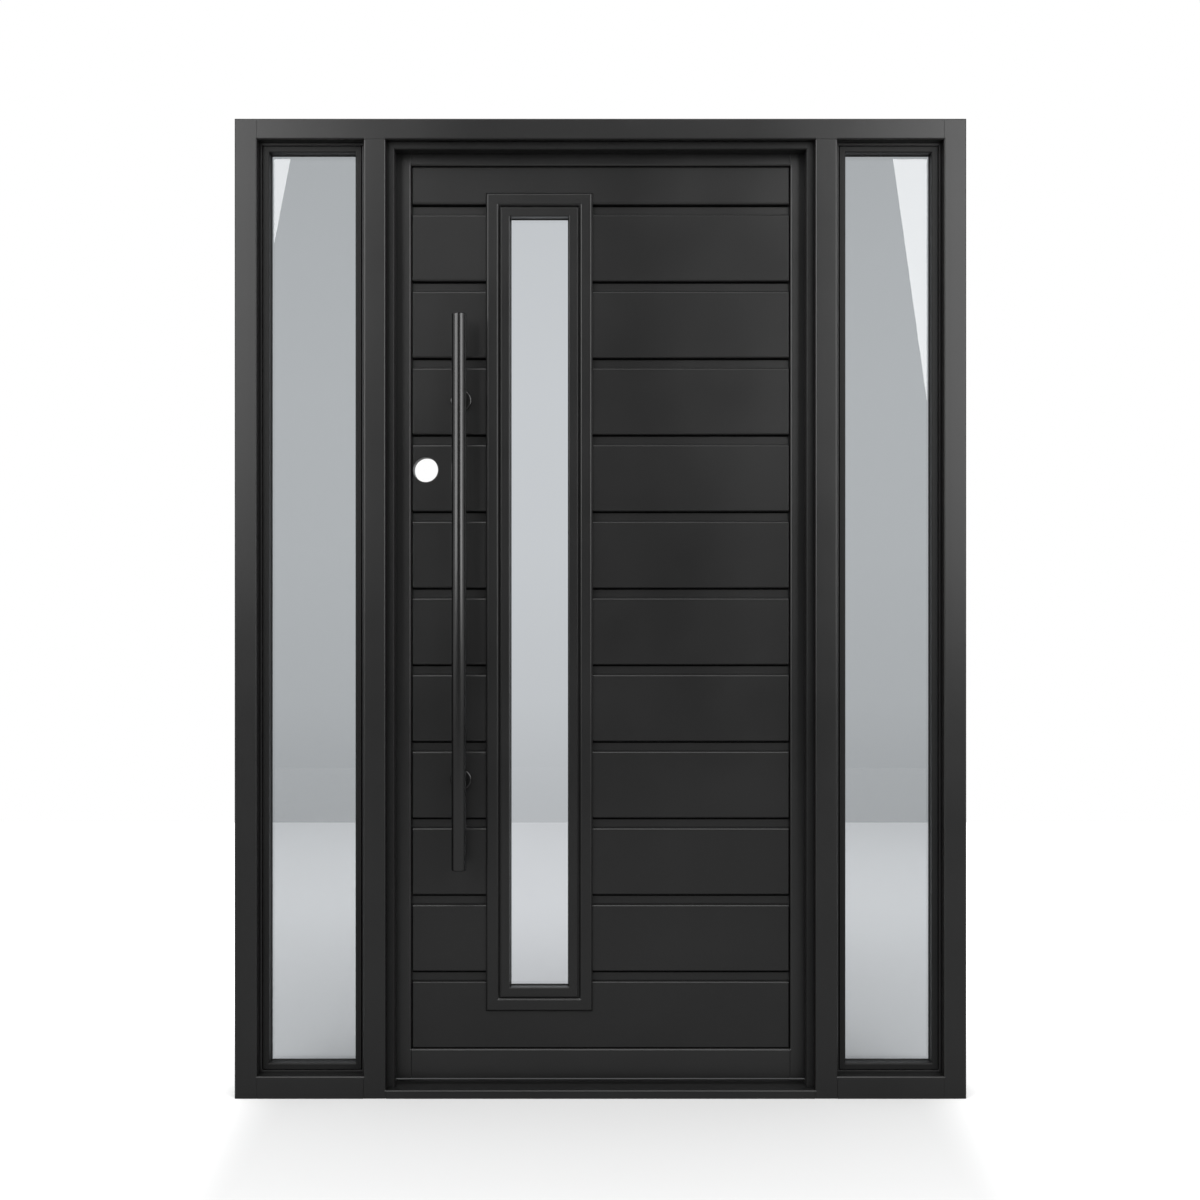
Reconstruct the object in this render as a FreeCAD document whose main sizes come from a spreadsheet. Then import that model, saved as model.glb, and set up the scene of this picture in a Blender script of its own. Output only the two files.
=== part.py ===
import FreeCAD, Part
import os
import Sketcher

# Steel entrance door with two sidelights.
# X runs to the right seen from outside, Y from outside to inside, Z up.
# The origin is in the middle of the frame's underside. All sizes are in millimetres.

doc = FreeCAD.newDocument("door_with_sidelights")
pieces = []

# Driving dimensions
DRIVING = {
    # frame
    "frame_width": 1574,
    "frame_height": 2108,
    "frame_depth": 108,
    "member_width": 48,
    "head_height": 44.5,
    "rail_height": 48,
    "threshold_height": 18.5,
    "doorway_width": 924,
    "edge_bevel": 2.5,
    # sidelight glazing, from the frame's front inwards
    "reveal_depth": 28,
    "ledge_width": 6,
    "bead_joint": 2,
    "bead_joint_depth": 12,
    "bead_width": 13,
    "bead_bevel": 2,
    "lip_width": 15,
    "pane_setback": 57,
    "pane_thickness": 10,
    "pane_clearance": 2,
    # stop and threshold that the leaf closes against
    "stop_setback": 20.5,
    "stop_projection": 17,
    "seal_thickness": 3,
    "seal_width": 10,
    "seal_inset": 5,
    "ridge_height": 3,
    "ridge_width": 12,
    "ridge_setback": 3,
    # leaf
    "leaf_thickness": 45,
    "leaf_gap": 5,
    "lock_gap": 6,
    "lock_edge_bevel": 2.5,
    "stile_width": 42,
    "top_rail_height": 36,
    "bottom_rail_height": 64,
    "border_bevel": 3,
    # planks on both faces of the leaf
    "plank_height": 147,
    "groove_width": 21,
    "plank_thickness": 10,
    "plank_setback": 4,
    "plank_bevel": 3,
    "plank_end_gap": 2,
    "least_plank": 40,
    # vision panel
    "vision_width": 233.5,
    "vision_offset": 205.5,
    "vision_rise": 146.5,
    "vision_drop": 95,
    "trim_width": 29,
    "trim_thickness": 8,
    "trim_bevel": 4,
    "trim_joint": 4.5,
    "outside_bead_width": 19,
    "inside_bead_width": 14,
    "vision_bead_bevel": 1.5,
    "vision_bead_setback": 1,
    "vision_pane_setback": 29,
    "vision_pane_thickness": 8,
    # pull bar
    "bar_diameter": 32,
    "bar_length": 1200,
    "bar_centre_height": 1090,
    "bar_offset": 151,
    "bar_reach": 60,
    "bar_end_bevel": 1.5,
    "top_standoff_inset": 181,
    "bottom_standoff_inset": 190,
    "standoff_diameter": 20,
    "rose_diameter": 47,
    "rose_thickness": 8,
    "rose_bevel": 2,
    "cap_diameter": 24,
    "cap_thickness": 5,
    "cap_bevel": 1.5,
    # lock bore
    "bore_diameter": 54,
    "bore_backset": 73,
    "bore_height": 1358,
    # hinges
    "hinge_height": 100,
    "hinge_top_offset": 180,
    "hinge_bottom_offset": 250,
    "hinge_plate_width": 35,
    "hinge_plate_thickness": 2.5,
    "knuckle_diameter": 14,
    "knuckle_clearance": 0.5,
    "knuckle_gap": 0.4,
    "pin_diameter": 8,
    "pin_clearance": 0.05,
    "pin_head_diameter": 11,
    "pin_head_height": 3,
}

# Places and sizes that follow from them
DERIVED = {
    "front": "=-dim.frame_depth / 2",
    "back": "=dim.frame_depth / 2",
    "side": "=dim.frame_width / 2",
    "head_underside": "=dim.frame_height - dim.head_height",
    # sidelights, measured from the centre line
    "doorway_side": "=dim.doorway_width / 2",
    "sidelight_near": "=doorway_side + dim.member_width",
    "sidelight_far": "=side - dim.member_width",
    "sidelight_width": "=sidelight_far - sidelight_near",
    "sidelight_height": "=head_underside - dim.rail_height",
    "sash_depth": "=dim.frame_depth - 2 * dim.reveal_depth",
    "rebate_width": "=sidelight_width - 2 * dim.ledge_width",
    "rebate_height": "=sidelight_height - 2 * dim.ledge_width",
    # leaf, closed, its back flush with the frame's back
    "leaf_front": "=back - dim.leaf_thickness",
    "leaf_left": "=dim.lock_gap - doorway_side",
    "leaf_right": "=doorway_side - dim.leaf_gap",
    "leaf_base": "=dim.threshold_height + dim.ridge_height + dim.leaf_gap",
    "leaf_top": "=head_underside - dim.leaf_gap",
    # stop
    "stop_front": "=front + dim.stop_setback",
    "stop_back": "=leaf_front - dim.leaf_gap - dim.seal_thickness",
    # panel inside the stiles and rails
    "panel_left": "=leaf_left + dim.stile_width",
    "panel_right": "=leaf_right - dim.stile_width",
    "panel_base": "=leaf_base + dim.bottom_rail_height",
    "panel_top": "=leaf_top - dim.top_rail_height",
    "panel_width": "=panel_right - panel_left",
    "panel_height": "=panel_top - panel_base",
    "plank_front": "=leaf_front + dim.plank_setback",
    "plank_back": "=back - dim.plank_setback",
    "plank_left": "=panel_left + dim.plank_end_gap",
    "plank_length": "=panel_width - 2 * dim.plank_end_gap",
    "core_front": "=plank_front + dim.plank_thickness",
    "core_back": "=plank_back - dim.plank_thickness",
    "plank_pitch": "=dim.plank_height + dim.groove_width",
    "full_planks": "=floor((panel_height - dim.least_plank) / plank_pitch)",
    # vision panel: the trim lies on the planks, the beads and the pane in a pocket
    "vision_left": "=leaf_left + dim.vision_offset",
    "vision_base": "=leaf_base + dim.vision_rise",
    "vision_height": "=leaf_top - dim.vision_drop - vision_base",
    "pocket_inset": "=dim.trim_width + dim.trim_joint",
    "pocket_left": "=vision_left + pocket_inset",
    "pocket_base": "=vision_base + pocket_inset",
    "pocket_width": "=dim.vision_width - 2 * pocket_inset",
    "pocket_height": "=vision_height - 2 * pocket_inset",
    "trim_front": "=plank_front - dim.trim_thickness",
    "trim_back": "=plank_back + dim.trim_thickness",
    "vision_bead_front": "=trim_front + dim.vision_bead_setback",
    "vision_bead_back": "=trim_back - dim.vision_bead_setback",
    "vision_pane_front": "=trim_front + dim.vision_pane_setback",
    "vision_pane_back": "=vision_pane_front + dim.vision_pane_thickness",
    # pull bar, lock bore and hinge line
    "bar_across": "=leaf_left + dim.bar_offset",
    "bar_depth": "=plank_front - dim.bar_reach",
    "bar_base": "=dim.bar_centre_height - dim.bar_length / 2",
    "standoff_low": "=bar_base + dim.bottom_standoff_inset",
    "standoff_high": "=bar_base + dim.bar_length - dim.top_standoff_inset",
    "bore_across": "=leaf_left + dim.bore_backset",
    "pin_across": "=doorway_side - dim.leaf_gap / 2",
    "pin_depth": "=back + dim.knuckle_diameter / 2 + dim.knuckle_clearance",
    "hinge_low": "=leaf_base + dim.hinge_bottom_offset",
    "hinge_high": "=leaf_top - dim.hinge_top_offset - dim.hinge_height",
}


def fill_sheet(name, cells):
    """Make a sheet with one named value a row."""
    sheet = doc.addObject("Spreadsheet::Sheet", name)
    for row, (alias, value) in enumerate(cells.items(), start=1):
        sheet.set(f"A{row}", alias)
        sheet.set(f"B{row}", str(value))
        sheet.setAlias(f"B{row}", alias)
    doc.recompute()
    return sheet


sizes = fill_sheet("dim", DRIVING)
fill_sheet("calc", DERIVED)


def number(text):
    """The present value of an expression."""
    return float(sizes.evalExpression(text))


def keep(piece, label):
    """Name a finished piece and put it on the list of pieces to write."""
    piece.Label = label
    pieces.append(piece)
    return piece


# Plain solids and booleans

def block(name, x, y, z):
    """A box between the two expressions given for each axis."""
    box = doc.addObject("Part::Box", name)
    for axis, side, (low, high) in (("x", "Length", x), ("y", "Width", y), ("z", "Height", z)):
        box.setExpression(f"Placement.Base.{axis}", low)
        box.setExpression(side, f"({high}) - ({low})")
    return box


def upright_cylinder(name, x, y, z, radius):
    """A vertical cylinder about (x, y) between the two heights in z."""
    cylinder = doc.addObject("Part::Cylinder", name)
    cylinder.setExpression("Placement.Base.x", x)
    cylinder.setExpression("Placement.Base.y", y)
    cylinder.setExpression("Placement.Base.z", z[0])
    cylinder.setExpression("Radius", radius)
    cylinder.setExpression("Height", f"({z[1]}) - ({z[0]})")
    return cylinder


def cut(name, base, tool):
    """The base without the tool."""
    result = doc.addObject("Part::Cut", name)
    result.Base = base
    result.Tool = tool
    return result


def common(name, base, tool):
    """What the base and the tool share."""
    result = doc.addObject("Part::Common", name)
    result.Base = base
    result.Tool = tool
    return result


def fuse(name, solids):
    """The solids as one."""
    result = doc.addObject("Part::MultiFuse", name)
    result.Shapes = solids
    return result


def group(name, solids):
    """Separate solids under one name."""
    result = doc.addObject("Part::Compound", name)
    result.Links = solids
    return result


def rim_cutter(name, x, z, face, bevel, looks):
    """A cutter that bevels the rim of an opening; looks is -1 on a front face and 1 on a back face."""
    cutter = doc.addObject("Part::Wedge", name)
    wide, narrow = ("", "2") if looks < 0 else ("2", "")
    cutter.setExpression("Ymin", f"{face} - {bevel}")
    cutter.setExpression("Ymax", f"{face} + {bevel}")
    for axis, (low, high) in (("X", x), ("Z", z)):
        cutter.setExpression(f"{axis}{wide}min", f"{low} - 2 * {bevel}")
        cutter.setExpression(f"{axis}{wide}max", f"{high} + 2 * {bevel}")
        cutter.setExpression(f"{axis}{narrow}min", low)
        cutter.setExpression(f"{axis}{narrow}max", high)
    return cutter


# Bodies and sketches

def new_body(name, x, y, z):
    """A body whose own origin is at the expressions x, y and z."""
    body = doc.addObject("PartDesign::Body", name)
    body.AllowCompound = True
    body.setExpression("Placement.Base.x", x)
    body.setExpression("Placement.Base.y", y)
    body.setExpression("Placement.Base.z", z)
    return body


def new_sketch(body, role, name):
    """A sketch on one of the body's own origin planes."""
    sketch = body.newObject("Sketcher::SketchObject", name)
    plane = next(item for item in body.Origin.OriginFeatures if item.Role == role)
    sketch.AttachmentSupport = [(plane, "")]
    sketch.MapMode = "FlatFace"
    return sketch


def place_point(sketch, geometry, point, across, up):
    """Hold a point of the sketch at the expressions across and up from its origin."""
    here = sketch.getPoint(geometry, point)
    for kind, text, value, axis in (("DistanceX", across, here.x, -2), ("DistanceY", up, here.y, -1)):
        if text == "0":
            sketch.addConstraint(Sketcher.Constraint("PointOnObject", geometry, point, axis))
            continue
        index = sketch.addConstraint(Sketcher.Constraint(kind, -1, 1, geometry, point, value))
        sketch.setExpression(f"Constraints[{index}]", text)


def outline(sketch, corners):
    """A closed outline through corners, each a pair of expressions."""
    points = [FreeCAD.Vector(number(across), number(up), 0) for across, up in corners]
    first = sketch.GeometryCount
    for index, point in enumerate(points):
        sketch.addGeometry(Part.LineSegment(point, points[(index + 1) % len(points)]), False)
    for index, (across, up) in enumerate(corners):
        line = first + index
        following = first + (index + 1) % len(corners)
        sketch.addConstraint(Sketcher.Constraint("Coincident", line, 2, following, 1))
        place_point(sketch, line, 1, across, up)


def rectangle(sketch, left, base, right, top):
    """A rectangle between the expressions given for its sides."""
    outline(sketch, [(left, base), (right, base), (right, top), (left, top)])


def circle(sketch, across, up, diameter):
    """A circle about a point, all given as expressions."""
    centre = FreeCAD.Vector(number(across), number(up), 0)
    radius = number(diameter) / 2
    ring = sketch.addGeometry(Part.Circle(centre, FreeCAD.Vector(0, 0, 1), radius), False)
    index = sketch.addConstraint(Sketcher.Constraint("Diameter", ring, 2 * radius))
    sketch.setExpression(f"Constraints[{index}]", diameter)
    place_point(sketch, ring, 3, across, up)


def pad(body, sketch, length, backwards=False):
    """Extrude a sketch by an expression; backwards goes against the sketch's normal."""
    feature = body.newObject("PartDesign::Pad", f"{sketch.Name}_pad")
    feature.Profile = sketch
    feature.setExpression("Length", length)
    feature.Reversed = backwards
    body.Tip = feature
    return feature


def pocket(body, sketch, depth):
    """Cut a sketch into the body, against the sketch's normal."""
    feature = body.newObject("PartDesign::Pocket", f"{sketch.Name}_pocket")
    feature.Profile = sketch
    feature.setExpression("Length", depth)
    body.Tip = feature
    return feature


def revolve(body, sketch):
    """Turn a sketch once about its own vertical axis."""
    feature = body.newObject("PartDesign::Revolution", f"{sketch.Name}_turned")
    feature.Profile = sketch
    feature.ReferenceAxis = (sketch, ["V_Axis"])
    feature.Angle = 360
    body.Tip = feature
    return feature


def chamfer(body, feature, edges, size):
    """Bevel the named edges of a feature by an expression."""
    bevel = body.newObject("PartDesign::Chamfer", f"{feature.Name}_bevel")
    bevel.Base = (feature, edges)
    bevel.setExpression("Size", size)
    body.Tip = bevel
    return bevel


def edges_at_depth(feature, depth, which):
    """Names of the edges in the plane Y = depth that are on the feature's outside, inside or both."""
    doc.recompute()
    whole = feature.Shape.BoundBox
    near = 0.01
    names = []
    for index, edge in enumerate(feature.Shape.Edges, start=1):
        box = edge.BoundBox
        if abs(box.YMin - depth) > near or abs(box.YMax - depth) > near:
            continue
        on_side = box.XLength < near and min(box.XMin - whole.XMin, whole.XMax - box.XMax) < near
        on_end = box.ZLength < near and min(box.ZMin - whole.ZMin, whole.ZMax - box.ZMax) < near
        place = "outside" if on_side or on_end else "inside"
        if which in (place, "both"):
            names.append(f"Edge{index}")
    return names


def ring(name, corner, width, height, border, depth):
    """A rectangular ring standing in the XZ plane, its lower left front corner at corner."""
    body = new_body(name, *corner)
    sketch = new_sketch(body, "XZ_Plane", f"{name}_outline")
    rectangle(sketch, "0", "0", width, height)
    rectangle(sketch, border, border, f"{width} - ({border})", f"{height} - ({border})")
    return body, pad(body, sketch, depth, backwards=True)


# Frame members, with every rim bevelled in one go so that the corners meet as in a welded frame

DOORWAY = ("-calc.doorway_side", "calc.doorway_side")
STOP_OPENING = ("-calc.doorway_side + dim.stop_projection", "calc.doorway_side - dim.stop_projection")
LIGHTS = {
    "left": ("-calc.sidelight_far", "-calc.sidelight_near"),
    "right": ("calc.sidelight_near", "calc.sidelight_far"),
}
THROUGH = ("calc.front", "calc.back")
ABOVE_RAIL = ("dim.rail_height", "calc.head_underside")
ABOVE_THRESHOLD = ("dim.threshold_height", "calc.head_underside")


def frame_envelope():
    """The whole outside of the frame, bevelled at its sides and top and square at its foot."""
    body = new_body("frame_envelope", "-calc.side", "calc.front", "0")
    sketch = new_sketch(body, "XZ_Plane", "frame_outside")
    rectangle(sketch, "0", "0", "dim.frame_width", "dim.frame_height")
    solid = pad(body, sketch, "dim.frame_depth", backwards=True)
    rims = edges_at_depth(solid, 0, "both") + edges_at_depth(solid, number("dim.frame_depth"), "both")
    foot = [name for name in rims if solid.Shape.getElement(name).BoundBox.ZMax < number("dim.edge_bevel")]
    chamfer(body, solid, [name for name in rims if name not in foot], "dim.edge_bevel")
    return body


def frame_rims():
    """Cutters for the rims of the doorway and the sidelights, on both faces, and of the stop."""
    cutters = []
    openings = [("doorway", DOORWAY, ABOVE_THRESHOLD)]
    openings += [(f"light_{side}", across, ABOVE_RAIL) for side, across in LIGHTS.items()]
    for name, across, upright in openings:
        for face, looks in (("calc.front", -1), ("calc.back", 1)):
            plane = face.split(".")[1]
            cutters.append(rim_cutter(f"{name}_{plane}_rim", across, upright, face, "dim.edge_bevel", looks))
    stop_upright = (ABOVE_THRESHOLD[0], "calc.head_underside - dim.stop_projection")
    stop_rim = rim_cutter("stop_rim", STOP_OPENING, stop_upright, "calc.stop_front", "dim.edge_bevel", -1)
    return group("frame_rims", cutters), stop_rim


envelope = frame_envelope()
rims, stop_rim = frame_rims()


def member(label, x, z, recesses=None):
    """A frame member between the expressions in x and z, with its share of the bevelled rims."""
    solid = common(f"{label}_bar", block(f"{label}_block", x, THROUGH, z), envelope)
    if recesses:
        solid = cut(f"{label}_recessed", solid, recesses)
    return keep(cut(f"{label}_piece", solid, rims), label)


# Hinges: one half let into the mullion, one into the leaf's edge, and a pin through both

HINGES = {
    "bottom": "calc.hinge_low",
    "middle": "(calc.hinge_low + calc.hinge_high) / 2",
    "top": "calc.hinge_high",
}
KNUCKLES = 5
FRAME_PLATE = ("calc.doorway_side", "calc.doorway_side + dim.hinge_plate_thickness")
LEAF_PLATE = ("calc.leaf_right - dim.hinge_plate_thickness", "calc.leaf_right")


def hinge_plate(name, across, base):
    """The flat part of a hinge half, from the back of the door forwards."""
    depth = ("calc.back - dim.hinge_plate_width", "calc.back")
    return block(name, across, depth, (base, f"{base} + dim.hinge_height"))


def hinge_half(name, across, base, first_knuckle):
    """A plate with every second knuckle, joined to it by a web, and bored for the pin."""
    solids = [hinge_plate(f"{name}_plate", across, base)]
    for index in range(first_knuckle, KNUCKLES, 2):
        low = f"{base} + {index} * dim.hinge_height / {KNUCKLES} + dim.knuckle_gap / 2"
        high = f"{base} + {index + 1} * dim.hinge_height / {KNUCKLES} - dim.knuckle_gap / 2"
        solids.append(block(f"{name}_web_{index}", across, ("calc.back", "calc.pin_depth"), (low, high)))
        knuckle = f"{name}_knuckle_{index}"
        radius = "dim.knuckle_diameter / 2"
        solids.append(upright_cylinder(knuckle, "calc.pin_across", "calc.pin_depth", (low, high), radius))
    bore_radius = "dim.pin_diameter / 2 + dim.pin_clearance"
    bore_span = (base, f"{base} + dim.hinge_height")
    bore = upright_cylinder(f"{name}_bore", "calc.pin_across", "calc.pin_depth", bore_span, bore_radius)
    return cut(name, fuse(f"{name}_joined", solids), bore)


def hinge_pin(name, base):
    """A pin with a head at each end of the knuckles."""
    body = new_body(name, "calc.pin_across", "calc.pin_depth", f"{base} - dim.pin_head_height")
    sketch = new_sketch(body, "XZ_Plane", f"{name}_section")
    shank, head = "dim.pin_diameter / 2", "dim.pin_head_diameter / 2"
    low = "dim.pin_head_height"
    high = "dim.pin_head_height + dim.hinge_height"
    end = "2 * dim.pin_head_height + dim.hinge_height"
    outline(sketch, [("0", "0"), (head, "0"), (head, low), (shank, low),
                     (shank, high), (head, high), (head, end), ("0", end)])
    revolve(body, sketch)
    return body


def hinges():
    """All hinges, and the recesses that their plates lie in."""
    frame_halves, leaf_halves, pins, frame_recesses, leaf_recesses = [], [], [], [], []
    for place, base in HINGES.items():
        frame_halves.append(hinge_half(f"{place}_hinge_on_frame", FRAME_PLATE, base, 0))
        leaf_halves.append(hinge_half(f"{place}_hinge_on_leaf", LEAF_PLATE, base, 1))
        pins.append(hinge_pin(f"{place}_hinge_pin", base))
        frame_recesses.append(hinge_plate(f"{place}_frame_recess", FRAME_PLATE, base))
        leaf_recesses.append(hinge_plate(f"{place}_leaf_recess", LEAF_PLATE, base))
    keep(group("frame_halves", frame_halves), "hinge_frame_plates")
    keep(group("leaf_halves", leaf_halves), "hinge_leaf_plates")
    keep(group("pins", pins), "hinge_pins")
    return group("frame_recesses", frame_recesses), group("leaf_recesses", leaf_recesses)


frame_recesses, leaf_recesses = hinges()


def frame():
    """Jambs and mullions from the ground up, with head, rails and threshold between them."""
    to_head = ("0", "calc.head_underside")
    member("jamb_left", ("-calc.side", "-calc.sidelight_far"), ("0", "dim.frame_height"))
    member("jamb_right", ("calc.sidelight_far", "calc.side"), ("0", "dim.frame_height"))
    member("head", ("-calc.sidelight_far", "calc.sidelight_far"), ("calc.head_underside", "dim.frame_height"))
    member("mullion_left", ("-calc.sidelight_near", "-calc.doorway_side"), to_head)
    member("mullion_right", ("calc.doorway_side", "calc.sidelight_near"), to_head, frame_recesses)
    for side, across in LIGHTS.items():
        member(f"sidelight_rail_{side}", across, ("0", "dim.rail_height"))


def threshold():
    """A flat sill with a low ridge under the leaf."""
    body = new_body("threshold_body", "-calc.doorway_side", "calc.front", "0")
    sketch = new_sketch(body, "YZ_Plane", "threshold_section")
    level, crest = "dim.threshold_height", "dim.threshold_height + dim.ridge_height"
    near = "calc.leaf_front - calc.front + dim.ridge_setback"
    far = f"{near} + dim.ridge_width"
    outline(sketch, [("0", "0"), ("dim.frame_depth", "0"), ("dim.frame_depth", level), (far, level),
                     (f"{far} - dim.ridge_height", crest), (f"{near} + dim.ridge_height", crest),
                     (near, level), ("0", level)])
    pad(body, sketch, "dim.doorway_width")
    keep(cut("threshold_piece", body, rims), "threshold")


def door_stop():
    """The rebate that the leaf closes against, and the seal on its back."""
    depth = ("calc.stop_front", "calc.stop_back")
    bars = {
        "left": ((DOORWAY[0], STOP_OPENING[0]), ABOVE_THRESHOLD),
        "right": ((STOP_OPENING[1], DOORWAY[1]), ABOVE_THRESHOLD),
        "head": (STOP_OPENING, ("calc.head_underside - dim.stop_projection", "calc.head_underside")),
    }
    for side, (across, upright) in bars.items():
        bar = block(f"door_stop_{side}_block", across, depth, upright)
        keep(cut(f"door_stop_{side}_piece", bar, stop_rim), f"door_stop_{side}")
    seal = new_body("seal", f"{DOORWAY[0]} + dim.seal_inset", "calc.stop_back", "dim.threshold_height")
    sketch = new_sketch(seal, "XZ_Plane", "seal_outline")
    width = "dim.doorway_width - 2 * dim.seal_inset"
    height = "calc.head_underside - dim.threshold_height - dim.seal_inset"
    inner, under = f"{width} - dim.seal_width", f"{height} - dim.seal_width"
    outline(sketch, [("0", "0"), ("dim.seal_width", "0"), ("dim.seal_width", under), (inner, under),
                     (inner, "0"), (width, "0"), (width, height), ("0", height)])
    pad(seal, sketch, "dim.seal_thickness", backwards=True)
    keep(seal, "door_seal")


# Sidelight glazing: a rebated sash, a pane in the rebate and a bead in front of the pane

def sidelight(side, across):
    """The sash, pane and bead of one sidelight."""
    sash_front = "calc.front + dim.reveal_depth"
    pane_back = "dim.pane_setback + dim.pane_thickness - dim.reveal_depth"
    sash, bars = ring(f"sash_{side}", (across[0], sash_front, "dim.rail_height"),
                      "calc.sidelight_width", "calc.sidelight_height", "dim.lip_width", "calc.sash_depth")
    inner_rim = edges_at_depth(bars, number("calc.sash_depth"), "inside")
    chamfer(sash, bars, inner_rim, "dim.bead_bevel")
    rebate = new_sketch(sash, "XZ_Plane", f"sash_{side}_rebate")
    rectangle(rebate, "dim.ledge_width", "dim.ledge_width",
              "calc.sidelight_width - dim.ledge_width", "calc.sidelight_height - dim.ledge_width")
    pocket(sash, rebate, pane_back)
    keep(sash, f"sidelight_sash_{side}")

    bead, bars = ring(f"bead_{side}", (f"{across[0]} + dim.ledge_width", sash_front,
                                       "dim.rail_height + dim.ledge_width"),
                      "calc.rebate_width", "calc.rebate_height", "dim.bead_joint + dim.bead_width",
                      "dim.pane_setback - dim.reveal_depth")
    chamfer(bead, bars, edges_at_depth(bars, 0, "inside"), "dim.bead_bevel")
    joint = new_sketch(bead, "XZ_Plane", f"bead_{side}_joint")
    rectangle(joint, "0", "0", "calc.rebate_width", "calc.rebate_height")
    rectangle(joint, "dim.bead_joint", "dim.bead_joint",
              "calc.rebate_width - dim.bead_joint", "calc.rebate_height - dim.bead_joint")
    pocket(bead, joint, "dim.bead_joint_depth")
    keep(bead, f"sidelight_bead_{side}")

    inset = "(dim.ledge_width + dim.pane_clearance)"
    pane_front = "calc.front + dim.pane_setback"
    pane = block(f"pane_{side}", (f"{across[0]} + {inset}", f"{across[1]} - {inset}"),
                 (pane_front, f"{pane_front} + dim.pane_thickness"),
                 (f"dim.rail_height + {inset}", f"calc.head_underside - {inset}"))
    keep(pane, f"sidelight_glass_{side}")


# Leaf: stiles and rails round a core, with planks on both faces

LEAF_DEPTH = ("calc.leaf_front", "calc.back")
LEAF_UPRIGHT = ("calc.leaf_base", "calc.leaf_top")
PANEL_ACROSS = ("calc.panel_left", "calc.panel_right")
PANEL_UPRIGHT = ("calc.panel_base", "calc.panel_top")


def leaf_border():
    """Two stiles and two rails, bevelled round the planks on both faces."""
    rims = group("border_rims", [
        rim_cutter("border_front_rim", PANEL_ACROSS, PANEL_UPRIGHT, "calc.leaf_front", "dim.border_bevel", -1),
        rim_cutter("border_back_rim", PANEL_ACROSS, PANEL_UPRIGHT, "calc.back", "dim.border_bevel", 1),
    ])
    lock_stile = new_body("lock_stile_body", "calc.leaf_left", "calc.leaf_front", "calc.leaf_base")
    sketch = new_sketch(lock_stile, "XY_Plane", "lock_stile_section")
    outline(sketch, [("dim.lock_edge_bevel", "0"), ("dim.stile_width", "0"),
                     ("dim.stile_width", "dim.leaf_thickness"), ("0", "dim.leaf_thickness")])
    pad(lock_stile, sketch, "calc.leaf_top - calc.leaf_base")
    keep(cut("lock_stile_piece", lock_stile, rims), "lock_stile")

    stile = block("hinge_stile_block", ("calc.panel_right", "calc.leaf_right"), LEAF_DEPTH, LEAF_UPRIGHT)
    recessed = cut("hinge_stile_recessed", stile, leaf_recesses)
    keep(cut("hinge_stile_piece", recessed, rims), "hinge_stile")

    for place, upright in (("top", ("calc.panel_top", "calc.leaf_top")),
                           ("bottom", ("calc.leaf_base", "calc.panel_base"))):
        rail = block(f"{place}_rail_block", PANEL_ACROSS, LEAF_DEPTH, upright)
        keep(cut(f"{place}_rail_piece", rail, rims), f"{place}_rail")


def cut_panel_openings(body, name, origin, grown, depth):
    """Cut the lock bore and the pocket of the vision panel, grown on all sides, through a body of the panel."""
    sketch = new_sketch(body, "XZ_Plane", f"{name}_openings")
    left = f"calc.pocket_left - {grown} - {origin}"
    base = f"calc.pocket_base - {grown} - calc.panel_base"
    rectangle(sketch, left, base, f"{left} + calc.pocket_width + 2 * {grown}",
              f"{base} + calc.pocket_height + 2 * {grown}")
    circle(sketch, f"calc.bore_across - {origin}", "dim.bore_height - calc.panel_base", "dim.bore_diameter")
    return pocket(body, sketch, depth)


def core():
    """The flat core between the two layers of planks."""
    origin = "calc.panel_left"
    body = new_body("core_body", origin, "calc.core_front", "calc.panel_base")
    sketch = new_sketch(body, "XZ_Plane", "core_outline")
    rectangle(sketch, "0", "0", "calc.panel_width", "calc.panel_height")
    depth = "calc.core_back - calc.core_front"
    pad(body, sketch, depth, backwards=True)
    cut_panel_openings(body, "core", origin, "0", depth)
    keep(body, "core")


def plank_section(sketch, base, height, faces_front):
    """The section of a plank that starts at base, its two outer long edges bevelled."""
    top = f"{base} + {height}" if base != "0" else height
    bevel, thick = "dim.plank_bevel", "dim.plank_thickness"
    low_bevel = f"{base} + {bevel}" if base != "0" else bevel
    high_bevel = f"{top} - {bevel}"
    if faces_front:
        outline(sketch, [(bevel, base), (thick, base), (thick, top), (bevel, top),
                         ("0", high_bevel), ("0", low_bevel)])
    else:
        outline(sketch, [("0", base), (f"{thick} - {bevel}", base), (thick, low_bevel),
                         (thick, high_bevel), (f"{thick} - {bevel}", top), ("0", top)])


def planks(name, depth_place, faces_front):
    """Full planks from the bottom rail up and a cut one under the top rail, short of the stiles."""
    origin = "calc.plank_left"
    body = new_body(f"{name}_body", origin, depth_place, "calc.panel_base")
    full = new_sketch(body, "YZ_Plane", f"{name}_full")
    plank_section(full, "0", "dim.plank_height", faces_front)
    first = pad(body, full, "calc.plank_length")
    pattern = body.newObject("PartDesign::LinearPattern", f"{name}_rows")
    pattern.Originals = [first]
    pattern.Direction = (full, ["V_Axis"])
    pattern.setExpression("Occurrences", "calc.full_planks")
    pattern.setExpression("Length", "(calc.full_planks - 1) * calc.plank_pitch")
    body.Tip = pattern
    last = new_sketch(body, "YZ_Plane", f"{name}_last")
    base = "calc.full_planks * calc.plank_pitch"
    plank_section(last, base, f"(calc.panel_height - {base})", faces_front)
    pad(body, last, "calc.plank_length")
    cut_panel_openings(body, name, origin, "dim.trim_joint", "dim.plank_thickness")
    keep(body, name)


# Vision panel

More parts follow.
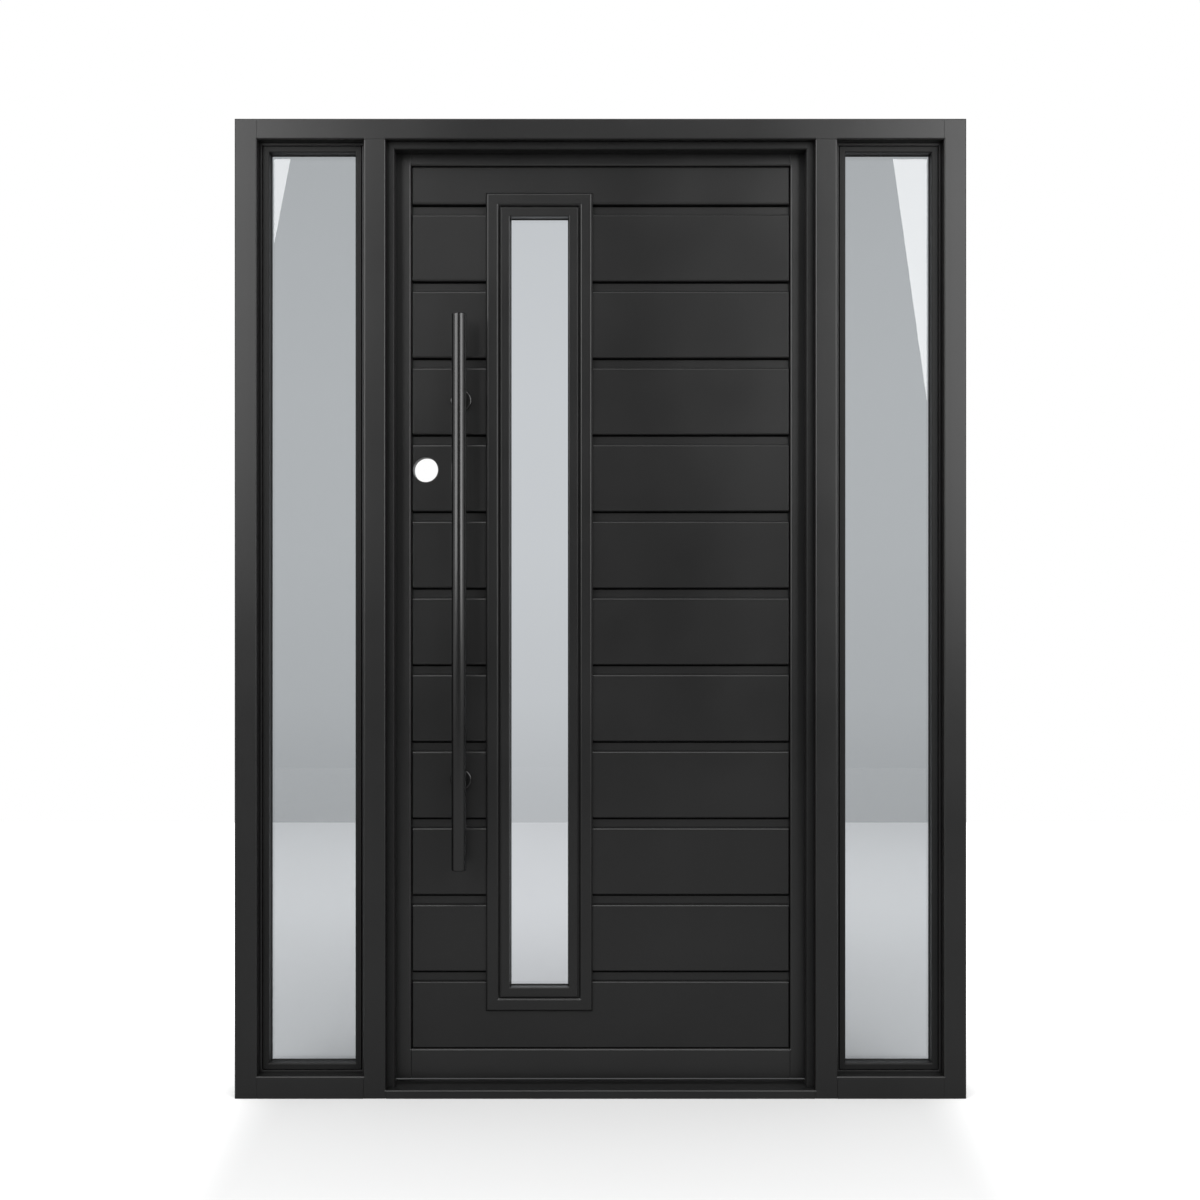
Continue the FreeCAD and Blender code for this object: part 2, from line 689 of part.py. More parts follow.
def vision_bead(place, width, depth, flange_depth):
    """A bead against the pane, with a flange between the planks that closes the joint beside the trim."""
    corner = ("calc.pocket_left", depth[0], "calc.pocket_base")
    length = f"{depth[1]} - {depth[0]}"
    bead, bars = ring(f"vision_{place}_bead", corner, "calc.pocket_width", "calc.pocket_height", width, length)
    face = 0 if place == "front" else number(length)
    chamfer(bead, bars, edges_at_depth(bars, face, "inside"), "dim.vision_bead_bevel")
    joint = "dim.trim_joint"
    flange_corner = (f"calc.pocket_left - {joint}", flange_depth[0], f"calc.pocket_base - {joint}")
    flange, _ = ring(f"vision_{place}_flange", flange_corner, f"calc.pocket_width + 2 * {joint}",
                     f"calc.pocket_height + 2 * {joint}", joint, f"{flange_depth[1]} - {flange_depth[0]}")
    keep(fuse(f"vision_{place}_bead_piece", [bead, flange]), f"vision_bead_{place}")


def vision_panel():
    """Trim on the planks of both faces, a bead from each face, and the pane between the beads."""
    outer = ("dim.vision_width", "calc.vision_height", "dim.trim_width", "dim.trim_thickness")
    for place, depth_place, face in (("front", "calc.trim_front", 0), ("back", "calc.plank_back", 1)):
        corner = ("calc.vision_left", depth_place, "calc.vision_base")
        trim, bars = ring(f"trim_{place}", corner, *outer)
        depth = face * number("dim.trim_thickness")
        chamfer(trim, bars, edges_at_depth(bars, depth, "both"), "dim.trim_bevel")
        keep(trim, f"vision_trim_{place}")
    vision_bead("front", "dim.outside_bead_width", ("calc.vision_bead_front", "calc.vision_pane_front"),
                ("calc.plank_front", "calc.core_front"))
    vision_bead("back", "dim.inside_bead_width", ("calc.vision_pane_back", "calc.vision_bead_back"),
                ("calc.core_back", "calc.plank_back"))
    spans = [(f"calc.pocket_{low} + dim.pane_clearance",
              f"calc.pocket_{low} + calc.pocket_{size} - dim.pane_clearance")
             for low, size in (("left", "width"), ("base", "height"))]
    pane = block("vision_pane", spans[0], ("calc.vision_pane_front", "calc.vision_pane_back"), spans[1])
    keep(pane, "vision_glass")


# Pull bar on two standoffs, bolted through the leaf

def pull_bar():
    """The round bar with bevelled ends."""
    body = new_body("pull_bar_body", "calc.bar_across", "calc.bar_depth", "calc.bar_base")
    sketch = new_sketch(body, "XZ_Plane", "pull_bar_section")
    radius, bevel = "dim.bar_diameter / 2", "dim.bar_end_bevel"
    outline(sketch, [("0", "0"), (f"{radius} - {bevel}", "0"), (radius, bevel),
                     (radius, f"dim.bar_length - {bevel}"), (f"{radius} - {bevel}", "dim.bar_length"),
                     ("0", "dim.bar_length")])
    revolve(body, sketch)
    return keep(body, "pull_bar")


def standoff(name, height, bar):
    """A post with a round rose on the planks, its end cut to the bar."""
    body = new_body(f"{name}_body", "calc.bar_across", "calc.bar_depth", height)
    sketch = new_sketch(body, "XY_Plane", f"{name}_section")
    post, rose = "dim.standoff_diameter / 2", "dim.rose_diameter / 2"
    rose_front = "dim.bar_reach - dim.rose_thickness"
    outline(sketch, [("0", "0"), (post, "0"), (post, rose_front), (f"{rose} - dim.rose_bevel", rose_front),
                     (rose, f"{rose_front} + dim.rose_bevel"), (rose, "dim.bar_reach"), ("0", "dim.bar_reach")])
    revolve(body, sketch)
    keep(cut(f"{name}_piece", body, bar), name)


def bolt_caps():
    """The two plain caps of the bar's bolts on the inside."""
    caps = []
    for place in ("low", "high"):
        body = new_body(f"bolt_cap_{place}", "calc.bar_across", "calc.plank_back", f"calc.standoff_{place}")
        sketch = new_sketch(body, "XY_Plane", f"bolt_cap_{place}_section")
        radius = "dim.cap_diameter / 2"
        outline(sketch, [("0", "0"), (radius, "0"), (radius, "dim.cap_thickness - dim.cap_bevel"),
                         (f"{radius} - dim.cap_bevel", "dim.cap_thickness"), ("0", "dim.cap_thickness")])
        revolve(body, sketch)
        caps.append(body)
    keep(group("bolt_caps_pair", caps), "bolt_caps")


def check(piece):
    """Stop if a piece has no sound shape."""
    shape = piece.Shape
    if shape.isNull() or not shape.isValid() or not shape.Solids:
        raise RuntimeError(f"{piece.Label} has no sound shape")


frame()
threshold()
door_stop()
for side, across in LIGHTS.items():
    sidelight(side, across)
leaf_border()
core()
planks("front_planks", "calc.plank_front", True)
planks("back_planks", "calc.core_back", False)
vision_panel()
bar = pull_bar()
standoff("pull_standoff_bottom", "calc.standoff_low", bar)
standoff("pull_standoff_top", "calc.standoff_high", bar)
bolt_caps()

doc.recompute()
for item in doc.Objects:
    if "Invalid" in item.State or "Error" in item.State:
        raise RuntimeError(f"{item.Name} failed: {item.State}")
for piece in pieces:
    check(piece)

os.makedirs("parts", exist_ok=True)
for piece in pieces:
    piece.Shape.exportStep(f"parts/{piece.Label}.step")
    print(piece.Label, len(piece.Shape.Solids), "solids", round(piece.Shape.Volume / 1000), "cm3")
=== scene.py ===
import math
import random

import bmesh
import bpy
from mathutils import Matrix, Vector


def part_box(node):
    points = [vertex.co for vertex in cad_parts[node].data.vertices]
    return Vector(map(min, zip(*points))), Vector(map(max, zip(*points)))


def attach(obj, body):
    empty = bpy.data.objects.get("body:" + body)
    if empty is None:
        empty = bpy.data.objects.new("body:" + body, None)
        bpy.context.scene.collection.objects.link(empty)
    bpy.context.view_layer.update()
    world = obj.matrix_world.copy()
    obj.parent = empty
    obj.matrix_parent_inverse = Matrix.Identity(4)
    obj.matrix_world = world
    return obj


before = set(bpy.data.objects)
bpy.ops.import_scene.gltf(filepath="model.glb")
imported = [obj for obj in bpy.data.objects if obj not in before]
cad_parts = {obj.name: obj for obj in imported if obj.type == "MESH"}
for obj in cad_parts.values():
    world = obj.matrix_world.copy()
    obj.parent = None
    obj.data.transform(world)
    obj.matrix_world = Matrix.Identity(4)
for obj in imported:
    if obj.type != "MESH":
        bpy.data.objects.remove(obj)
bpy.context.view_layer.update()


# Node helpers

WHITE = (1.0, 1.0, 1.0, 1.0)
NOISE_SPAN = (0.3, 0.7)


def new_material(name):
    """A node material with a Principled shader; gives the material, its node tree and the shader."""
    material = bpy.data.materials.new(name)
    material.use_nodes = True
    tree = material.node_tree
    return material, tree, tree.nodes["Principled BSDF"]


def coordinates(tree, kind):
    """The X, Y and Z of one kind of texture coordinate, such as Object."""
    place = tree.nodes.new("ShaderNodeTexCoord")
    split = tree.nodes.new("ShaderNodeSeparateXYZ")
    tree.links.new(place.outputs[kind], split.inputs["Vector"])
    return split.outputs["X"], split.outputs["Y"], split.outputs["Z"]


def object_noise(tree, scale, detail, roughness=0.5):
    """Noise in the object's own coordinates, scale in cells a metre. Most of it lies in NOISE_SPAN."""
    place = tree.nodes.new("ShaderNodeTexCoord")
    noise = tree.nodes.new("ShaderNodeTexNoise")
    noise.inputs["Scale"].default_value = scale
    noise.inputs["Detail"].default_value = detail
    noise.inputs["Roughness"].default_value = roughness
    tree.links.new(place.outputs["Object"], noise.inputs["Vector"])
    return noise.outputs["Fac"]


def map_range(tree, value, span, low, high, curve="LINEAR"):
    """Goes from low to high while a value crosses a span."""
    node = tree.nodes.new("ShaderNodeMapRange")
    node.interpolation_type = curve
    for name, number in (("From Min", span[0]), ("From Max", span[1]), ("To Min", low), ("To Max", high)):
        node.inputs[name].default_value = number
    tree.links.new(value, node.inputs["Value"])
    return node.outputs["Result"]


def fade(tree, value, span, low, high):
    """A soft step from low to high across a span."""
    return map_range(tree, value, span, low, high, "SMOOTHSTEP")


def calculate(tree, operation, *values):
    """One arithmetic step on outputs or plain numbers."""
    node = tree.nodes.new("ShaderNodeMath")
    node.operation = operation
    for value, socket in zip(values, node.inputs):
        if isinstance(value, float):
            socket.default_value = value
        else:
            tree.links.new(value, socket)
    return node.outputs["Value"]


def blend_colours(tree, noise, dark, light):
    """A colour between dark and light by a noise."""
    ramp = tree.nodes.new("ShaderNodeValToRGB")
    for element, position, colour in zip(ramp.color_ramp.elements, NOISE_SPAN, (dark, light)):
        element.position = position
        element.color = (*colour, 1.0)
    tree.links.new(noise, ramp.inputs["Fac"])
    return ramp.outputs["Color"]


# Materials

COAT_CLOUDS = 4.0
COAT_GRAIN = 900.0
COAT_GRAIN_STRENGTH = 0.5
MATT_BLACK_CLOUDS = 60.0
MATT_BLACK_SMOOTH = 0.72
MATT_BLACK_ROUGH = 0.8
GLASS_CLOUDS = 1.5
GLASS_UNEVEN = 1.01


def dark_finish(tree, shader, clouds, dark, light, smooth, rough, gloss):
    """A grey and a roughness that both vary a little with the same clouds."""
    colour = blend_colours(tree, clouds, (dark, dark, dark), (light, light, light))
    tree.links.new(colour, shader.inputs["Base Color"])
    tree.links.new(map_range(tree, clouds, NOISE_SPAN, smooth, rough), shader.inputs["Roughness"])
    shader.inputs["Specular IOR Level"].default_value = gloss


def powder_coat(name, dark=0.007, light=0.009, smooth=0.29, rough=0.34, gloss=0.5, grain=0.00004):
    """Satin black coating, slightly uneven in its sheen, with a fine grain of that depth in metres."""
    material, tree, shader = new_material(name)
    clouds = object_noise(tree, COAT_CLOUDS, detail=4.0)
    dark_finish(tree, shader, clouds, dark, light, smooth, rough, gloss)
    bump = tree.nodes.new("ShaderNodeBump")
    bump.inputs["Strength"].default_value = COAT_GRAIN_STRENGTH
    bump.inputs["Distance"].default_value = grain
    tree.links.new(object_noise(tree, COAT_GRAIN, detail=3.0, roughness=0.6), bump.inputs["Height"])
    tree.links.new(bump.outputs["Normal"], shader.inputs["Normal"])
    return material


def matt_black(name, dark, light, gloss):
    """Matt black, as rubber for the seals and as the painted shadow in the grooves between planks."""
    material, tree, shader = new_material(name)
    clouds = object_noise(tree, MATT_BLACK_CLOUDS, detail=3.0)
    dark_finish(tree, shader, clouds, dark, light, MATT_BLACK_SMOOTH, MATT_BLACK_ROUGH, gloss)
    return material


def clear_glass(name, tint, ior):
    """Polished pane, tinted on its way in and on its way out."""
    material, tree, shader = new_material(name)
    clouds = object_noise(tree, GLASS_CLOUDS, detail=2.0)
    light = tuple(part * GLASS_UNEVEN for part in tint)
    tree.links.new(blend_colours(tree, clouds, tint, light), shader.inputs["Base Color"])
    shader.inputs["Transmission Weight"].default_value = 1.0
    shader.inputs["Roughness"].default_value = 0.0
    shader.inputs["IOR"].default_value = ior
    return material


# The coats differ in gloss to make a face darker or lighter than its neighbours. The bead and stop coats
# are shaded copies of the frame coat, less glossy to paint the shade in their recesses, and the rail coat
# is a lit copy of the leaf coat, glossier to paint light into the leaf's recess by the stops.
# The sidelight panes have a high index, so that they reflect the lamps as brightly as in the photograph.
MATERIALS = {
    "frame": powder_coat("frame_coating"),
    "leaf": powder_coat("leaf_coating"),
    "bar": powder_coat("bar_coating", 0.005, 0.006, smooth=0.19, rough=0.23, gloss=0.6, grain=0.00001),
    "hinge": powder_coat("hinge_coating", 0.014, 0.018, smooth=0.26, rough=0.3),
    "bead": powder_coat("shaded_bead_coating", smooth=0.44, rough=0.5, gloss=0.25),
    "stop": powder_coat("shaded_stop_coating", smooth=0.36, rough=0.42, gloss=0.25),
    "rail": powder_coat("lit_rail_coating", gloss=0.62),
    "seal": matt_black("seal_rubber", 0.008, 0.014, gloss=0.5),
    # Near black with hardly any sheen: paints the shadow at the top of each groove between planks
    "painted_groove_shadow": matt_black("groove_shadow_black", 0.0006, 0.0012, gloss=0.02),
    "sidelight": clear_glass("sidelight_pane", (0.686, 0.712, 0.738), ior=1.85),
    "vision": clear_glass("vision_pane", (0.885, 0.91, 0.945), ior=1.5),
}


# Finish of the nodes: a material, the width of the eased edges in metres, or 0 for sharp ones,
# and the nodes that have them

FINISHES = [
    ("frame", 0.0006, ["jamb_left", "jamb_right", "head", "sidelight_rail_left", "sidelight_rail_right"]),
    ("frame", 0.0012, ["threshold", "sidelight_sash_left", "sidelight_sash_right"]),
    ("frame", 0.0016, ["mullion_left", "mullion_right"]),
    ("stop", 0.0012, ["door_stop_left", "door_stop_right", "door_stop_head"]),
    ("bead", 0.0006, ["sidelight_bead_left", "sidelight_bead_right"]),
    ("rail", 0.0012, ["lock_stile", "hinge_stile", "top_rail", "bottom_rail"]),
    ("leaf", 0.0012, ["core", "vision_trim_front", "vision_trim_back"]),
    ("leaf", 0.0006, ["vision_bead_front", "vision_bead_back"]),
    ("leaf", 0.0022, ["front_planks", "back_planks"]),
    ("bar", 0.0006, ["pull_bar", "bolt_caps"]),
    ("bar", 0.0013, ["pull_standoff_top", "pull_standoff_bottom"]),
    ("hinge", 0, ["hinge_frame_plates", "hinge_leaf_plates", "hinge_pins"]),
    ("seal", 0, ["door_seal"]),
    ("sidelight", 0, ["sidelight_glass_left", "sidelight_glass_right"]),
    ("vision", 0, ["vision_glass"]),
]
# The smallest step of these would narrow all their eased edges, so it doesn't limit the width
UNLIMITED_EDGES = ("pull_standoff_top", "pull_standoff_bottom", "mullion_left", "mullion_right")
EDGE_SEGMENTS = 3
SHARP_ANGLE = math.radians(30)
WELD_DISTANCE = 0.00001


def ease_edges(piece, width):
    """Ease the sharp edges of a node, as coated metal has them."""
    weld = piece.modifiers.new("weld", "WELD")
    weld.merge_threshold = WELD_DISTANCE
    bevel = piece.modifiers.new("eased_edges", "BEVEL")
    bevel.width = width
    bevel.segments = EDGE_SEGMENTS
    bevel.limit_method = "ANGLE"
    bevel.angle_limit = SHARP_ANGLE
    bevel.use_clamp_overlap = piece.name not in UNLIMITED_EDGES


def dress_nodes():
    """Give every node of the frame its finish."""
    for finish, edge, nodes in FINISHES:
        for node in nodes:
            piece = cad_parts[node]
            piece.data.materials.clear()
            piece.data.materials.append(MATERIALS[finish])
            if edge:
                ease_edges(piece, edge)


# Helpers for the small pieces. Outwards is -1 for a face on the outside and 1 for one on the inside.

def face_of(node, outwards):
    """The place along Y of a node's outside or inside face."""
    low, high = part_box(node)
    return low.y if outwards < 0 else high.y


def following(items):
    """Each item with the one after it, round to the first."""
    return zip(items, items[1:] + items[:1])


def bridge(shape, first, second):
    """Faces between two loops of as many corners."""
    for (a, b), (c, d) in zip(following(first), following(second)):
        shape.faces.new((a, b, d, c))


def add_piece(name, shape, material, body):
    """Turn a bmesh into a piece that rides on a body."""
    bmesh.ops.recalc_face_normals(shape, faces=shape.faces)
    mesh = bpy.data.meshes.new(name)
    shape.to_mesh(mesh)
    shape.free()
    mesh.materials.append(MATERIALS[material])
    piece = bpy.data.objects.new(name, mesh)
    bpy.context.collection.objects.link(piece)
    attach(piece, body)


# Gaskets: what holds a pane covers its edge, and the gasket lies along the opening that this leaves

COVER = {"outside": 0.013, "inside": 0.007, "front": 0.017, "back": 0.012}
GASKET_WIDTH = 0.0022
GASKET_HEIGHT = 0.0026
# Its section in shares of width and height, from just inside the holder and the pane
GASKET_PROFILE = [(-0.05, -0.05), (-0.05, 0.9), (0.15, 1.0), (0.5, 0.95), (0.85, 0.65),
                  (1.0, 0.25), (1.0, -0.05)]


def make_gasket(name, body, pane, cover, outwards):
    """A rubber bead with a rounded top, all round one face of a pane."""
    low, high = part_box(pane)
    face = face_of(pane, outwards)
    left, right, base, top = low.x + cover, high.x - cover, low.z + cover, high.z - cover
    corners = ((left, base, 1, 1), (right, base, -1, 1), (right, top, -1, -1), (left, top, 1, -1))
    shape = bmesh.new()
    sections = []
    for x, z, across, up in corners:
        sections.append([shape.verts.new((x + across * inwards * GASKET_WIDTH,
                                          face + outwards * proud * GASKET_HEIGHT,
                                          z + up * inwards * GASKET_WIDTH))
                         for inwards, proud in GASKET_PROFILE])
    for here, there in following(sections):
        bridge(shape, here, there)
    add_piece(name, shape, "seal", body)


def make_gaskets():
    """Two gaskets for each pane, one on each face."""
    for side in ("left", "right"):
        for place, outwards in (("outside", -1), ("inside", 1)):
            make_gasket(f"sidelight_gasket_{place}_{side}", "frame", f"sidelight_glass_{side}",
                        COVER[place], outwards)
    for place, outwards in (("front", -1), ("back", 1)):
        make_gasket(f"vision_gasket_{place}", "leaf", "vision_glass", COVER[place], outwards)


# Painted shadow strips: a black sheet along the top of each groove between two planks, where the plank
# above casts its shade

# From the foot of one plank to the foot of the next
PLANK_PITCH = 0.168
SHADOW_STRIP_HEIGHT = 0.0035
SHADOW_STRIP_RISE = 0.0005


def make_shadow_strips_on_face(name, planks, trim, outwards):
    """A thin black strip on the core under each plank, a painted shadow of the plank above, parted by the
    trim of the vision panel.
    """
    low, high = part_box(planks)
    trim_low, trim_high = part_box(trim)
    core_face = face_of("core", outwards)
    shape = bmesh.new()
    for step in range(1, math.ceil((high.z - low.z) / PLANK_PITCH)):
        top = low.z + step * PLANK_PITCH
        base = top - SHADOW_STRIP_HEIGHT
        spans = [(low.x, high.x)]
        if trim_low.z < top < trim_high.z:
            spans = [(low.x, trim_low.x), (trim_high.x, high.x)]
        for left, right in spans:
            outline = ((left, base), (right, base), (right, top), (left, top))
            foot, crown = [[shape.verts.new((x, y, z)) for x, z in outline]
                           for y in (core_face, core_face + outwards * SHADOW_STRIP_RISE)]
            bridge(shape, foot, crown)
            shape.faces.new(foot)
            shape.faces.new(crown)
    add_piece(name, shape, "painted_groove_shadow", "leaf")


def make_all_groove_shadows():
    """The painted shadow strips on both faces of the leaf."""
    for place, outwards in (("front", -1), ("back", 1)):
        make_shadow_strips_on_face(f"groove_shade_strips_{place}", f"{place}_planks", f"vision_trim_{place}", outwards)


# Hinge screws: low countersunk heads with a cross recess, on plates whose faces look along X

SCREW_SIDES = 32
SCREW_RADIUS = 0.0043
SCREW_RISE = 0.0006
# Shares of radius and rise at the foot, the shoulder and the crown of a head
HEAD_PROFILE = [(1.0, 0.0), (0.96, 0.6), (0.82, 1.0)]
CROSS_LONG = 0.0026
CROSS_HALF = 0.00045
CROSS_TAPER = 0.8
CROSS_FLOOR = 0.12
PLATE_HEIGHT = 0.1
# Centres in a plate: distance from its outside edge, and height over its lower end
SCREW_PLACES = [(0.009, 0.012), (0.024, 0.036), (0.009, 0.064), (0.024, 0.088)]


def screw_head(shape, centre, facing, turn):
    """One screw head round a centre, turned by an angle; facing is the way along X that it looks."""
    cosine, sine = math.cos(turn), math.sin(turn)

    def loop(outline, scale, rise):
        return [shape.verts.new((centre[0] + facing * rise,
                                 centre[1] + scale * (along * cosine - up * sine),
                                 centre[2] + scale * (along * sine + up * cosine)))
                for along, up in outline]

    angles = [2 * math.pi * step / SCREW_SIDES for step in range(SCREW_SIDES)]
    circle = [(math.cos(angle), math.sin(angle)) for angle in angles]
    foot, shoulder, crown = [loop(circle, width * SCREW_RADIUS, height * SCREW_RISE)
                             for width, height in HEAD_PROFILE]
    bridge(shape, foot, shoulder)
    bridge(shape, shoulder, crown)
    shape.faces.new(foot)
    a, b = CROSS_HALF, CROSS_LONG
    cross = [(b, -a), (b, a), (a, a), (a, b), (-a, b), (-a, a),
             (-b, a), (-b, -a), (-a, -a), (-a, -b), (a, -b), (a, -a)]
    rim = loop(cross, 1.0, SCREW_RISE)
    floor = loop(cross, CROSS_TAPER, CROSS_FLOOR * SCREW_RISE)
    bridge(shape, rim, floor)
    shape.faces.new(floor)
    edges = [shape.edges.get(pair) or shape.edges.new(pair)
             for ring in (crown, rim) for pair in following(ring)]
    bmesh.ops.triangle_fill(shape, use_beauty=True, edges=edges)


def make_screws(name, body, plates, plate_face, facing, seed):
    """Four screw heads in each of the three plates on one side of the hinges."""
    random.seed(seed)
    low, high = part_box(plates)
    middle = (low.z + high.z) / 2
    shape = bmesh.new()
    for base in (low.z, middle - PLATE_HEIGHT / 2, high.z - PLATE_HEIGHT):
        for inset, rise in SCREW_PLACES:
            centre = (plate_face, low.y + inset, base + rise)
            screw_head(shape, centre, facing, random.uniform(0.0, math.pi / 2))
    add_piece(name, shape, "hinge", body)


def make_hinge_screws():
    """Screws in the plates on the mullion and in the plates on the edge of the leaf."""
    mullion_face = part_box("mullion_right")[0].x
    leaf_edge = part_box("hinge_stile")[1].x
    make_screws("hinge_screws_frame", "frame", "hinge_frame_plates", mullion_face, -1, seed=11)
    make_screws("hinge_screws_leaf", "leaf", "hinge_leaf_plates", leaf_edge, 1, seed=12)


# Floor: white to the camera away from the door's shadow, and dimmer as a light on the door. Near the door
# its own glow is weaker, which paints shade over the real shadow.

FLOOR_BACK = 4.4
FLOOR_FRONT = -7.0
FLOOR_SIDE = 9.0
FLOOR_PALE = 0.66
FLOOR_DIM = 0.34
# Glow that the camera sees close to the door, and how much more it sees away from it: the weaker glow
# near the door paints a shadow over the door's real one. The painted shadow ends between two distances
# from the middle, across and along the floor.
PAINTED_SHADOW_LIFT = 0.11
PAINTED_SHADOW_DEPTH = 0.8
PAINTED_SHADOW_ACROSS = (0.66, 1.0)
PAINTED_SHADOW_ALONG = (0.55, 2.2)
# Glow that shows through the panes, from the middle to the sides, and its share close to the door. Weaker
# in the middle and near the door, it paints the leaf's shadow on the floor behind.
GLASS_LIFT = (0.165, 0.29)
BEHIND_GLASS_SHADE_ACROSS = (0.25, 0.95)
BEHIND_GLASS_SHADE_NEAR = 0.42
BEHIND_GLASS_SHADE_ALONG = (0.1, 2.4)


def floor_material():
    """Pale, with a light of its own for the camera and for what shows through glass, weaker near the door
    so that it paints shade there.
    """
    material = bpy.data.materials.new("floor_white")
    material.use_nodes = True
    tree = material.node_tree
    tree.nodes.clear()
    rays = tree.nodes.new("ShaderNodeLightPath")
    camera_ray, glass_ray = rays.outputs["Is Camera Ray"], rays.outputs["Is Transmission Ray"]
    seen = calculate(tree, "MAXIMUM", camera_ray, glass_ray)
    surface = tree.nodes.new("ShaderNodeBsdfDiffuse")
    paleness = calculate(tree, "MULTIPLY_ADD", seen, FLOOR_PALE - FLOOR_DIM, FLOOR_DIM)
    tree.links.new(paleness, surface.inputs["Color"])
    x, y = coordinates(tree, "Object")[:2]
    across = calculate(tree, "ABSOLUTE", x)
    along = calculate(tree, "ABSOLUTE", y)
    # Where the painted shadow fades out, sideways and lengthways
    beside = fade(tree, across, PAINTED_SHADOW_ACROSS, 0.0, 1.0)
    away = fade(tree, along, PAINTED_SHADOW_ALONG, 0.0, 1.0)
    clear = calculate(tree, "MAXIMUM", beside, away)
    raised = calculate(tree, "MULTIPLY_ADD", clear, PAINTED_SHADOW_DEPTH, PAINTED_SHADOW_LIFT)
    direct = calculate(tree, "MULTIPLY", camera_ray, raised)
    # Through the panes the glow is weaker in the middle and near the door: a painted shadow of the leaf
    sideways = fade(tree, across, BEHIND_GLASS_SHADE_ACROSS, GLASS_LIFT[0], GLASS_LIFT[1])
    backward = fade(tree, along, BEHIND_GLASS_SHADE_ALONG, BEHIND_GLASS_SHADE_NEAR, 1.0)
    through = calculate(tree, "MULTIPLY", glass_ray, calculate(tree, "MULTIPLY", sideways, backward))
    lift = tree.nodes.new("ShaderNodeEmission")
    lift.inputs["Color"].default_value = WHITE
    tree.links.new(calculate(tree, "ADD", direct, through), lift.inputs["Strength"])
    total = tree.nodes.new("ShaderNodeAddShader")
    output = tree.nodes.new("ShaderNodeOutputMaterial")
    tree.links.new(surface.outputs["BSDF"], total.inputs[0])
    tree.links.new(lift.outputs["Emission"], total.inputs[1])
    tree.links.new(total.outputs["Shader"], output.inputs["Surface"])
    return material


def make_floor():
    """A pale floor that ends some way behind the door."""
    corners = [(-FLOOR_SIDE, FLOOR_FRONT, 0), (FLOOR_SIDE, FLOOR_FRONT, 0),
               (FLOOR_SIDE, FLOOR_BACK, 0), (-FLOOR_SIDE, FLOOR_BACK, 0)]
    mesh = bpy.data.meshes.new("floor")
    mesh.from_pydata(corners, [], [(0, 1, 2, 3)])
    mesh.materials.append(floor_material())
    floor = bpy.data.objects.new("floor", mesh)
    bpy.context.collection.objects.link(floor)


# World: its brightness by direction. A span is in the X, Y or Z of the unit vector that points that way.

# Brightness of the room in front of the door, and what its sides and its ceiling add
ROOM = 0.13
SIDES = 0.8
SIDES_SPAN = (0.55, 0.85)
ABOVE = 0.8
ABOVE_SPAN = (0.55, 0.95)
BEHIND_SPAN = (-0.05, 0.35)
# Greys of the sky behind the door, at places between the two heights of its span
SKY_SPAN = (-0.15, 0.35)
SKY = [(0.04, 0.52), (0.18, 0.615), (0.36, 0.66), (0.54, 0.668), (0.7, 0.65), (1.0, 0.58)]
SKY_TINT = (0.985, 1.0, 1.003)


def sky_colour(tree, height):
    """The grey sky behind the door, by height."""
    sky = tree.nodes.new("ShaderNodeValToRGB")
    elements = sky.color_ramp.elements
    # A new stop may start anywhere, because the next loop places it
    while len(elements) < len(SKY):
        elements.new(0.5)
    for element, (position, grey) in zip(elements, SKY):
        element.position = position
        element.color = (*(grey * part for part in SKY_TINT), 1.0)
    tree.links.new(map_range(tree, height, SKY_SPAN, 0.0, 1.0), sky.inputs["Fac"])
    return sky.outputs["Color"]


